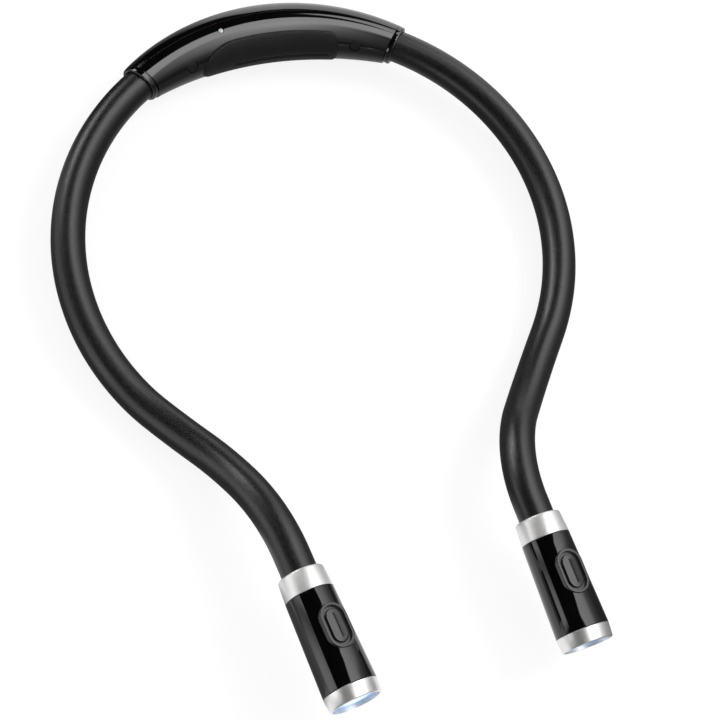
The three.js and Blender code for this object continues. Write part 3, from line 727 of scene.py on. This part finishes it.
def neck_pad():
    rings = []
    for place, limit in pad_rows(0.0):
        s = section(place)
        width, height = s["width"], s["height"]
        turns = limit * np.sin(np.linspace(-math.pi / 2, math.pi / 2, 49))
        proud = pad_height(np.full_like(turns, place), turns, width, height)
        top = np.stack([(width + proud) * np.cos(turns), (height + proud) * np.sin(turns)], -1)
        back = turns[::-1]
        bottom = np.stack([(width - PAD_DEPTH) * np.cos(back), (height - PAD_DEPTH) * np.sin(back)], -1)
        outline = np.concatenate([top, bottom])
        rings.append(on_section(s, -outline[:, 0], -outline[:, 1]))
    return lofted("neck_pad_cushion", rings, sharp=60)


pad = neck_pad()
finish_piece(pad, pad_rubber, "housing", ["neck_pad"])


# ---------------------------------------------------------------- plugs, indicator, socket, end rings

def screw_plug(name, place, node_name):
    origin, direction, across = screw_axes(place)
    ring = circle(64, across, UP)
    # Radius, and height over the housing's skin
    dome = [(0.25, -0.1), (0.8, -0.1), (1.4, -0.1), (1.75, -0.11), (1.9, -0.15), (PLUG_RADIUS, -0.28)]
    rings = []
    for radius, sink in dome:
        base = origin + ring * radius
        reach = skin_along(base, direction) + sink
        rings.append(base + direction * reach[:, None])
    rings.append(origin + ring * PLUG_RADIUS + direction * 4.6)
    return finish_piece(lofted(name, rings), plug_rubber, "housing", [node_name])


screw_plug("left_plug_cap", LEFT_SCREW, "left_screw_plug")
screw_plug("right_plug_cap", RIGHT_SCREW, "right_screw_plug")


def indicator():
    origin = indicator_origin()
    top = skin_along(origin[None], UP)[0]
    ring = circle(48, X_AXIS, Y_AXIS)
    # Radius, and height over the housing's skin
    dome = [
        (0.14, 0.0), (0.36, -0.015), (0.6, -0.06), (0.79, -0.14), (0.91, -0.26), (0.96, -0.43), (0.96, -2.4)
    ]
    made = lofted("indicator_dot", [origin + ring * r + UP * (top + z) for r, z in dome])
    return finish_piece(made, clear_pipe, "housing", ["light_pipe"])


indicator()


def socket():
    """The charging inlet: a rounded sleeve, its tongue and two rows of contacts."""
    mouth, back = SOCKET_MOUTH, SOCKET_MOUTH - 7.3
    stations = [
        (8.94, 3.2, back), (8.94, 3.2, mouth - 0.12), (8.86, 3.12, mouth - 0.03), (8.7, 2.96, mouth),
        (8.42, 2.68, mouth - 0.02), (8.28, 2.54, mouth - 0.12), (8.24, 2.5, mouth - 0.3),
        (8.24, 2.5, back + 0.8),
    ]
    sleeve = level_loft("socket_sleeve", stations, 20)
    finish_piece(sleeve, socket_steel, "housing", ["charge_socket"])
    stations = [
        (6.7, 0.7, back + 0.8), (6.7, 0.7, mouth - 1.1), (6.6, 0.6, mouth - 0.9), (6.3, 0.3, mouth - 0.8),
    ]
    finish_piece(level_loft("socket_tongue", stations, 12), slot_black, "housing")
    corners = []
    for side in (-1, 1):
        low, high = sorted((SOCKET_Z + side * 0.3, SOCKET_Z + side * 0.39))
        for i in range(8):
            x = (i - 3.5) * 0.72
            corners.append(((x - 0.16, back + 1.2, low), (x + 0.16, mouth - 1.3, high)))
    contacts = boxes("socket_contacts", corners)
    bevel = contacts.modifiers.new("bevel", "BEVEL")
    bevel.width = 0.03 * MM
    bevel.segments = 2
    finish_piece(contacts, contact_gold, "housing")


socket()


def end_ring(side_name, side):
    across, direction, up, origin = arm_frame(side, 0.0)
    turn = -side * END_TILT
    # The ring is turned about the arm's up axis
    along = math.cos(turn) * direction - math.sin(turn) * across
    sideways = math.cos(turn) * across + math.sin(turn) * direction

    def place(points):
        return origin + points[..., :1] * sideways + points[..., 1:2] * along + points[..., 2:3] * up

    profile = rounded([
        (6.12, -2.2, 0.0), (7.4, -2.28, 0.14), (7.4, 0.0, 0.6), (6.12, 0.0, 0.22)
    ], 6)
    made = turned(f"{side_name}_end_lip", profile, place)
    return finish_piece(made, shell_gloss, "housing", [f"{side_name}_end_ring"])


for side_name, side in SIDES.items():
    end_ring(side_name, side)


# ---------------------------------------------------------------- flexible arms

ARM_SIDES = 48
RING_STEP = 1.0
BEND_HALF = 11.5  # of the length that bends at a hinge


def tube_normals(side, start, end):
    """Normals away from the centre line, for the rubber's skin."""
    stations = np.arange(start, end + 0.25, 0.25)
    frames = [arm_frame(side, d) for d in stations]
    centres = np.array([f[3] for f in frames])
    directions = np.array([f[1] for f in frames])

    def normals(points):
        gaps = ((points[:, None, :] - centres[None]) ** 2).sum(-1)
        nearest = gaps.argmin(1)
        radial = points - centres[nearest]
        along = (radial * directions[nearest]).sum(-1, keepdims=True)
        radial = radial - along * directions[nearest]
        size = np.linalg.norm(radial, axis=-1, keepdims=True)
        return radial / np.maximum(size, 1e-9), np.abs(size[:, 0] - ARM_RADIUS) < 0.02

    return normals


def arm_piece(side_name, side, index, start, end):
    rings = []
    for distance in evenly(start, end, round((end - start) / RING_STEP)):
        across, _, up, origin = arm_frame(side, distance)
        rings.append(origin + ARM_RADIUS * circle(ARM_SIDES, across, up))
    return lofted(f"{side_name}_arm_{index + 1}", rings, tube_normals(side, start - 1, end + 1), 40)


# One piece of skin runs over each hinge; the pieces meet halfway between the hinges
for side_name, side in SIDES.items():
    middles = [(HINGES[i] + HINGES[i + 1]) / 2 for i in range(HINGE_COUNT - 1)]
    edges = [-ARM_ROOT, *middles, ARM_LENGTH + ARM_TIP]
    for i in range(HINGE_COUNT):
        made = arm_piece(side_name, side, i, edges[i], edges[i + 1])
        sections = [i] if i < HINGE_COUNT - 1 else [i, i + 1]
        replaced = [f"{side_name}_sleeve_{k}" for k in sections]
        finish_piece(made, arm_rubber, None, replaced)
        near = arm_frame(side, HINGES[i] - BEND_HALF)[3]
        far = arm_frame(side, HINGES[i] + BEND_HALF)[3]
        row_point(near)
        row_point(far)
        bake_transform(made)


# ---------------------------------------------------------------- lamp heads

COLLAR_TOP, COLLAR_END = 7.65, 8.18
COLLAR_LENGTH = 7.43
RIM_WIDE, RIM_FRONT = 8.93, 8.52
BARREL_START, BARREL_END = 7.52, 38.98
TAPER_START, TAPER_LENGTH = 7.7, 31.1
RIM_START, RIM_END = 39.1, 43.75
RIM_SPIGOT, RIM_BORE = 7.48, 7.77
LENS_RADIUS = 7.48
BUTTON_PLACE = 21.011
BUTTON_ROLL = {-1: radians(-19), 1: radians(-12)}
BUTTON_DEPTH = 1.65  # underside of the button below the ring's top
CAP_SINK = 0.3
CAP_MARGIN = 1.85
RING_LONG, RING_WIDE = 14.897, 9.3
RING_TOP = 9.051
POCKET_PLAY = 0.12


def barrel_radius(along):
    return COLLAR_END + (RIM_WIDE - COLLAR_END) * np.clip((along - TAPER_START) / TAPER_LENGTH, 0, 1)


def head_normals(side):
    """Normals of the barrel's turned skin."""
    across, direction, up, origin = arm_frame(side, ARM_LENGTH)
    slope = (RIM_WIDE - COLLAR_END) / TAPER_LENGTH

    def normals(points):
        offset = points - origin
        along = offset @ direction
        radial = offset - along[:, None] * direction
        size = np.linalg.norm(radial, axis=-1)
        radial = radial / np.maximum(size, 1e-9)[:, None]
        tilted = radial - slope * direction
        tilted /= np.linalg.norm(tilted, axis=-1, keepdims=True)
        on_skin = (np.abs(size - barrel_radius(along)) < 0.01)
        on_skin &= (along > BARREL_START + 0.15) & (along < BARREL_END - 0.15)
        return tilted, on_skin

    return normals


def head_parts(side_name, side):
    body = f"{side_name}_head"

    def place(points):
        return head_place(side, points)

    def name(part):
        return f"{side_name}_{part}"

    collar = rounded([
        (6.1, 0.12, 0.0), (6.28, 0.0, 0.1), (COLLAR_TOP, 0.0, 0.7), (COLLAR_END, COLLAR_LENGTH, 0.12),
        (7.03, COLLAR_LENGTH, 0.0), (7.03, 5.2, 0.0), (2.8, 5.2, 0.0), (2.8, 4.2, 0.0), (6.1, 4.2, 0.0)
    ], 6)
    made = turned(name("collar_skin"), collar, place, 144)
    finish_piece(made, pale_silver, body, [name("collar")])

    barrel = rounded([
        (5.63, 5.5, 0.0), (6.73, 5.5, 0.0), (6.73, BARREL_START, 0.0), (COLLAR_END, BARREL_START, 0.14),
        (RIM_WIDE, BARREL_END, 0.14), (7.78, BARREL_END, 0.0), (7.03, 9.1, 0.0), (5.63, 9.1, 0.0)
    ], 4)
    made = turned(name("barrel_skin"), barrel, place, 192)
    pocket = stadium(RING_LONG + POCKET_PLAY, RING_WIDE + POCKET_PLAY, 24)
    apply_cuts(made, [button_loft("cutter", side, [(pocket, 1.0), (pocket, 12.0)])], head_normals(side))
    finish_piece(made, barrel_gloss, body, [name("barrel")])

    rim = rounded([
        (6.58, 36.3, 0.0), (RIM_SPIGOT, 36.3, 0.0), (RIM_SPIGOT, RIM_START, 0.0), (RIM_WIDE, RIM_START, 0.12),
        (RIM_FRONT, RIM_END, 0.4), (RIM_BORE, RIM_END, 0.14), (RIM_BORE, 42.2, 0.0), (7.6, 40.1, 0.0),
        (6.58, 40.1, 0.0)
    ], 6)
    made = turned(name("rim_skin"), rim, place, 144)
    finish_piece(made, satin_silver, body, [name("front_rim")])

    lens = [
        (0.02, 42.95), (1.6, 42.92), (3.2, 42.84), (4.8, 42.7), (6.1, 42.52), (7.1, 42.3), (7.4, 42.2),
        (LENS_RADIUS, 42.05), (LENS_RADIUS, 40.45), (0.02, 40.45)
    ]
    made = turned(name("lens_glow"), lens, place, 96)
    origin = row_point(head_place(side, Y_AXIS * 42.7))
    axis = LOOP @ arm_frame(side, ARM_LENGTH)[1]
    look = glowing(
        name("lens_light"), (0.72, 0.84, 0.97), (0.30, 0.47, 0.76), 0.62, origin, tuple(axis), 7.4 * MM)
    finish_piece(made, look, body, [name("lens")])

    def button_outlines(stations):
        made = []
        for inset, height in stations:
            made.append((stadium(RING_LONG - 2 * inset, RING_WIDE - 2 * inset, 28), height))
        return made

    # Distance inside the ring's outline, and height above the head's axis
    top = RING_TOP
    ring = button_outlines([
        (1.0, 5.6), (0.0, 5.6), (0.0, top - 0.34), (0.04, top - 0.17), (0.14, top - 0.05), (0.32, top),
        (0.82, top), (0.94, top - 0.04), (1.0, top - 0.16), (1.0, 7.9), (1.9, 7.88)
    ])
    made = button_loft(name("button_surround"), side, ring, crown=0.012)
    finish_piece(made, control_black, body, [name("button_ring")])

    top = RING_TOP - CAP_SINK
    cap = button_outlines([
        (CAP_MARGIN, RING_TOP - BUTTON_DEPTH), (CAP_MARGIN, top - 0.42), (CAP_MARGIN + 0.05, top - 0.22),
        (CAP_MARGIN + 0.17, top - 0.07), (CAP_MARGIN + 0.36, top - 0.01), (CAP_MARGIN + 0.9, top)
    ])
    # The engraved stroke: length, width and height
    cap += [(stadium(length, width, 28), height) for length, width, height in (
        (8.5, 1.3, top), (8.2, 1.0, top + 0.03), (7.95, 0.75, top + 0.04), (7.8, 0.6, top),
        (7.7, 0.5, top - 0.1), (7.65, 0.45, top - 0.25), (7.4, 0.2, top - 0.25)
    )]
    made = button_loft(name("button_cap"), side, cap, crown=0.022)
    finish_piece(made, cap_black, f"{side_name}_button_body", [name("button")])


def button_loft(name, side, stack, crown=0.0):
    """A form over the button's place from outlines at heights above the head's axis."""
    cos_roll, sin_roll = math.cos(BUTTON_ROLL[side]), math.sin(BUTTON_ROLL[side])
    rings = []
    for outline, height in stack:
        x = outline[:, 0]
        z = height - crown * x ** 2
        turned_x = x * cos_roll + z * sin_roll
        turned_z = -x * sin_roll + z * cos_roll
        rings.append(head_place(side, np.stack([turned_x, BUTTON_PLACE + outline[:, 1], turned_z], -1)))
    return lofted(name, rings)


for side_name, side in SIDES.items():
    head_parts(side_name, side)

for name in frame["nodes"]:
    dress_node(name)


# ---------------------------------------------------------------- stage, lights and camera

FLOOR_RADIUS = 4.0
FLOOR_PAPER = 0.8  # colour that lights the object from below
FLOOR_SHADE = 0.22  # share of the seen floor that takes shadows
FLOOR_LIFT = 0.855  # share of the seen floor that is white by itself
WORLD_FILL = 0.6
TENT_RADIUS = 5.5
PANEL_X = -0.25
TABLE_HEIGHT = 0.00005
TABLE_LEVEL = 0.16


def sky_direction(azimuth, elevation):
    """Azimuth from +Y towards +X, elevation above the floor, in degrees."""
    a, e = radians(azimuth), radians(elevation)
    return np.array([math.sin(a) * math.cos(e), math.cos(a) * math.cos(e), math.sin(e)])


def smooth(x, low, high):
    """0 below low, 1 above high and an even rise between them."""
    t = np.clip((np.asarray(x, float) - low) / (high - low), 0, 1)
    return t * t * (3 - 2 * t)


def levels(x, *stops):
    """Values between (x, value) stops."""
    return np.interp(x, [p[0] for p in stops], [p[1] for p in stops])


def empty_tree(owner):
    owner.use_nodes = True
    owner.node_tree.nodes.clear()
    return owner.node_tree


def studio_light():
    """Light whose strength is written on each card's points."""
    made = bpy.data.materials.new("studio_light")
    tree = empty_tree(made)
    level = node(tree, "ShaderNodeAttribute", attribute_name="level")
    glow = node(tree, "ShaderNodeEmission")
    out = node(tree, "ShaderNodeOutputMaterial")
    tree.links.new(level.outputs["Fac"], glow.inputs["Strength"])
    tree.links.new(glow.outputs[0], out.inputs["Surface"])
    made.cycles.emission_sampling = "NONE"
    return made


card_light = studio_light()


def card(name, rows, strengths):
    """A studio card as a grid of points in metres; it shows only in reflections."""
    count, width = rows.shape[:2]
    corners = [r * width + c for r in range(count - 1) for c in range(width - 1)]
    faces = [(k, k + 1, k + width + 1, k + width) for k in corners]
    mesh = bpy.data.meshes.new(name)
    mesh.from_pydata(rows.reshape(-1, 3).tolist(), [], faces)
    mesh.materials.append(card_light)
    level = mesh.attributes.new("level", "FLOAT", "POINT")
    level.data.foreach_set("value", np.asarray(strengths, float).reshape(-1))
    made = linked(name, mesh)
    made.visible_camera = False
    made.visible_diffuse = False
    made.visible_transmission = False
    made.visible_shadow = False
    made.visible_volume_scatter = False


# Strength of the light at the right by height, and its edge: least x by y, of the direction
SIDE_LIGHT = (
    (0.0, 0.25), (0.24, 0.6), (0.41, 1.1), (0.58, 1.75), (0.72, 2.2), (0.83, 2.6), (0.96, 3.0), (1.0, 3.0))
SIDE_EDGE = (
    (-0.6, 0.8), (-0.25, 0.35), (-0.05, -0.05), (0.0, 0.0), (0.05, 0.05), (0.12, 0.1), (0.18, 0.16),
    (0.25, 0.16), (0.3, 0.27), (0.35, 0.34), (0.4, 0.33), (0.5, 0.27), (0.56, 0.26), (0.65, 0.5),
    (0.75, 0.62), (1.0, 0.9))
# Strength of the light behind the housing and its upper edge, by azimuth in degrees
BACK_LIGHT = (
    (-8, 0.0), (-2, 0.3), (4, 0.85), (9, 1.2), (15, 1.4), (24, 1.2), (29, 1.25), (34, 1.45), (40, 0.9),
    (60, 0.4))
BACK_EDGE = ((-8, 2), (-2, 8), (4, 12), (10, 24), (25, 26), (33, 28), (45, 28))
# Strength, middle and width in x of the light overhead, by height
OVERHEAD = ((0.0, 0.1), (0.14, 0.12), (0.43, 0.5), (0.69, 1.45), (0.9, 2.5), (0.96, 3.3), (1.0, 3.4))
OVERHEAD_MIDDLE = ((0.43, 0.3), (0.69, 0.25), (0.9, 0.2), (0.96, 0.18))
OVERHEAD_WIDTH = ((0.14, 1.0), (0.43, 0.6), (0.69, 0.38), (0.9, 0.22), (0.96, 0.12))
# Strength of the light in the far left corner and its lower and upper edges, by azimuth
CORNER_LIGHT = 5.4
CORNER_LOW = ((-60, 12), (-40, 18), (-13, 26))
CORNER_HIGH = ((-60, 35), (-40, 33), (-28, 42), (-13, 47))


def tent(direction_rows):
    """Strength of the light tent by direction."""
    x, y, z = np.moveaxis(direction_rows, -1, 0)
    azimuth = np.degrees(np.arctan2(x, y))
    height = np.degrees(np.arcsin(np.clip(z, -1, 1)))
    side = levels(z, *SIDE_LIGHT) * smooth(x - levels(y, *SIDE_EDGE), -0.012, 0.012)
    side = side * (1 - smooth(-y, 0.45, 0.7))
    side = side * (1 - 0.58 * smooth(azimuth, 70, 78) * (1 - smooth(height, 35, 55)))
    off_middle = (x - levels(z, *OVERHEAD_MIDDLE)) / levels(z, *OVERHEAD_WIDTH)
    overhead = levels(z, *OVERHEAD) * np.exp(-(off_middle ** 2))
    overhead = overhead * smooth(-y, 0.0, 0.03)
    edge = levels(azimuth, *BACK_EDGE)
    back = levels(azimuth, *BACK_LIGHT) * (1 - smooth(height, edge - 1.5, edge + 1.5))
    back = np.where(np.abs(azimuth) < 60, back, 0.0)
    low, high = levels(azimuth, *CORNER_LOW), levels(azimuth, *CORNER_HIGH)
    corner = CORNER_LIGHT * smooth(azimuth, -62, -53) * (1 - smooth(azimuth, -20, -12))
    corner = corner * smooth(height, low - 4, low + 4) * (1 - smooth(height, high - 4, high + 4))
    return np.maximum(np.maximum(side, overhead), np.maximum(back, corner))


def tent_card():
    heights = np.concatenate([np.linspace(-16, 0, 9)[:-1], np.linspace(0, 90, 73)])
    rows = np.array([[sky_direction(a, e) for a in np.linspace(-180, 180, 289)] for e in heights])
    card("studio_tent", rows * TENT_RADIUS, tent(rows))


def left_panel():
    """The panel that stands at the left, brightest beside the fronts of the heads."""
    ys = np.linspace(-0.16, 0.34, 101)
    zs = np.concatenate([[0.001], np.linspace(0.01, 0.165, 19)])
    rows = np.array([[(PANEL_X, y, z) for y in ys] for z in zs])
    along = levels(
        rows[..., 1], (-0.16, 0.5), (-0.145, 2.4), (-0.115, 2.3), (-0.1, 2.0), (-0.085, 1.6), (-0.07, 1.2),
        (-0.055, 0.9), (-0.045, 0.9), (-0.03, 1.6), (-0.02, 2.4), (0.0, 1.6), (0.05, 1.0))
    upward = levels(rows[..., 2], (0.0, 0.65), (0.036, 0.85), (0.078, 0.9), (0.172, 0.7))
    card("studio_panel", rows, along * upward)


def table_card():
    """What the polished parts see of the table: darker to the sides, paler by the housing and the heads."""
    far = (-5.4, -3.0, 3.0, 5.4)
    xs = np.unique(np.concatenate([np.linspace(-0.2, 0.2, 161), np.linspace(-1.2, 1.2, 41), far]))
    ys = np.unique(np.concatenate([np.linspace(-0.2, 0.25, 181), np.linspace(-1.2, 1.2, 41), far]))
    x, y = np.meshgrid(xs, ys)
    strengths = np.full(x.shape, TABLE_LEVEL)
    # Beyond the housing
    beyond = levels(x, (-0.07, 0.05), (-0.03, 0.4), (0.0, 0.9), (0.03, 1.25))
    beyond = beyond * levels(y, (0.13, 0.5), (0.18, 1.0))
    behind = smooth(y, 0.115, 0.125) * (1 - smooth(x, 0.15, 0.3))
    strengths = strengths * (1 - behind) + beyond * behind
    # By the wall that faces the neck
    reach = np.hypot(x, y - 0.034)
    near = smooth(reach, 0.058, 0.08) * smooth(y, 0.075, 0.095) * (1 - behind)
    strengths = strengths + 0.3 * near
    # By the lamp heads
    heads = levels(
        x, (-0.24, 0.9), (-0.2, 0.85), (-0.1, 0.55), (-0.075, 0.35), (-0.06, 0.2), (-0.04, 0.2), (-0.03, 1.0),
        (0.035, 1.0), (0.05, 0.3), (0.075, 0.12), (0.1, 0.08), (0.28, 0.17))
    front = (1 - smooth(y, -0.088, -0.07)) * smooth(y, -0.18, -0.15)
    strengths = strengths * (1 - front) + heads * front
    # Under the fronts of the heads
    fronts = smooth(y, -0.16, -0.15) * (1 - smooth(y, -0.131, -0.127)) * (1 - smooth(x, 0.03, 0.06))
    strengths = np.maximum(strengths, 1.1 * fronts)
    # To the left of the left collar
    collars = (1 - smooth(np.abs(y + 0.078), 0.006, 0.012))
    collars = collars * (1 - smooth(x, -0.056, -0.05)) * smooth(x, -0.2, -0.15)
    strengths = np.maximum(strengths, 0.9 * collars)
    card("studio_table", np.stack([x, y, np.full(x.shape, TABLE_HEIGHT)], -1), strengths)


def by_ray(tree, lighting, seen, output):
    """One shader for rays that light the object, another for camera, glossy and transmission rays."""
    path = node(tree, "ShaderNodeLightPath")
    rays = path.outputs["Is Camera Ray"]
    for kind in ("Is Glossy Ray", "Is Transmission Ray"):
        either = node(tree, "ShaderNodeMath", operation="MAXIMUM")
        tree.links.new(rays, either.inputs[0])
        tree.links.new(path.outputs[kind], either.inputs[1])
        rays = either.outputs[0]
    mix = node(tree, "ShaderNodeMixShader")
    out = node(tree, output)
    for source, target in zip((rays, lighting, seen), mix.inputs):
        tree.links.new(source, target)
    tree.links.new(mix.outputs[0], out.inputs["Surface"])


def plain_shader(tree, kind, colour, strength=None):
    made = node(tree, kind)
    made.inputs["Color"].default_value = (colour, colour, colour, 1.0)
    if strength is not None:
        made.inputs["Strength"].default_value = strength
    return made.outputs[0]


def floor():
    mesh = bpy.data.meshes.new("floor")
    rim = circle(64, X_AXIS, Y_AXIS) * FLOOR_RADIUS
    mesh.from_pydata(rim.tolist(), [], [tuple(range(64))])
    look = bpy.data.materials.new("floor_paper")
    tree = empty_tree(look)
    both = node(tree, "ShaderNodeAddShader")
    tree.links.new(plain_shader(tree, "ShaderNodeBsdfDiffuse", FLOOR_SHADE), both.inputs[0])
    tree.links.new(plain_shader(tree, "ShaderNodeEmission", 1.0, FLOOR_LIFT), both.inputs[1])
    paper = plain_shader(tree, "ShaderNodeBsdfDiffuse", FLOOR_PAPER)
    by_ray(tree, paper, both.outputs[0], "ShaderNodeOutputMaterial")
    look.cycles.emission_sampling = "NONE"
    mesh.materials.append(look)
    linked("floor", mesh)


def world():
    made = bpy.data.worlds.new("studio")
    bpy.context.scene.world = made
    tree = empty_tree(made)
    fill = plain_shader(tree, "ShaderNodeBackground", 1.0, WORLD_FILL)
    white = plain_shader(tree, "ShaderNodeBackground", 1.0, 1.0)
    by_ray(tree, fill, white, "ShaderNodeOutputWorld")
    made.cycles.sampling_method = "NONE"


def lamp(name, towards, distance, size, power):
    """A round area lamp that shines at the middle of the floor."""
    light = bpy.data.lights.new(name, "AREA")
    light.shape = "DISK"
    light.size = size
    light.energy = power
    made = linked(name, light)
    made.location = Vector(towards) * distance
    made.rotation_mode = "QUATERNION"
    made.rotation_quaternion = (-Vector(towards)).to_track_quat("-Z", "Y")
    made.visible_glossy = False
    made.visible_camera = False


# The camera was fitted to the photograph, in the loop's frame
CAMERA_PLACE = (-112.31, -302.10, 469.23)
CAMERA_RIGHT = (0.9556, -0.2578, 0.1428)
CAMERA_BACK = (-0.2245, -0.3232, 0.9193)


def camera():
    data = bpy.data.cameras.new("camera")
    data.sensor_width = 36.0
    data.lens = 73.28
    data.clip_start = 0.01
    data.clip_end = 50.0
    made = linked("camera", data)
    right = Vector(LOOP @ CAMERA_RIGHT).normalized()
    back = Vector(LOOP @ CAMERA_BACK).normalized()
    up = back.cross(right).normalized()
    right = up.cross(back)
    columns = (*right, 0.0), (*up, 0.0), (*back, 0.0), (*row_point(CAMERA_PLACE), 1.0)
    made.matrix_world = Matrix(columns).transposed()
    return made


tent_card()
left_panel()
table_card()
floor()
world()
lamp("key", towards=(0.72, 0.09, 0.69), distance=1.6, size=0.7, power=10.0)
bpy.context.scene.camera = camera()
bpy.context.scene.view_settings.view_transform = "Standard"
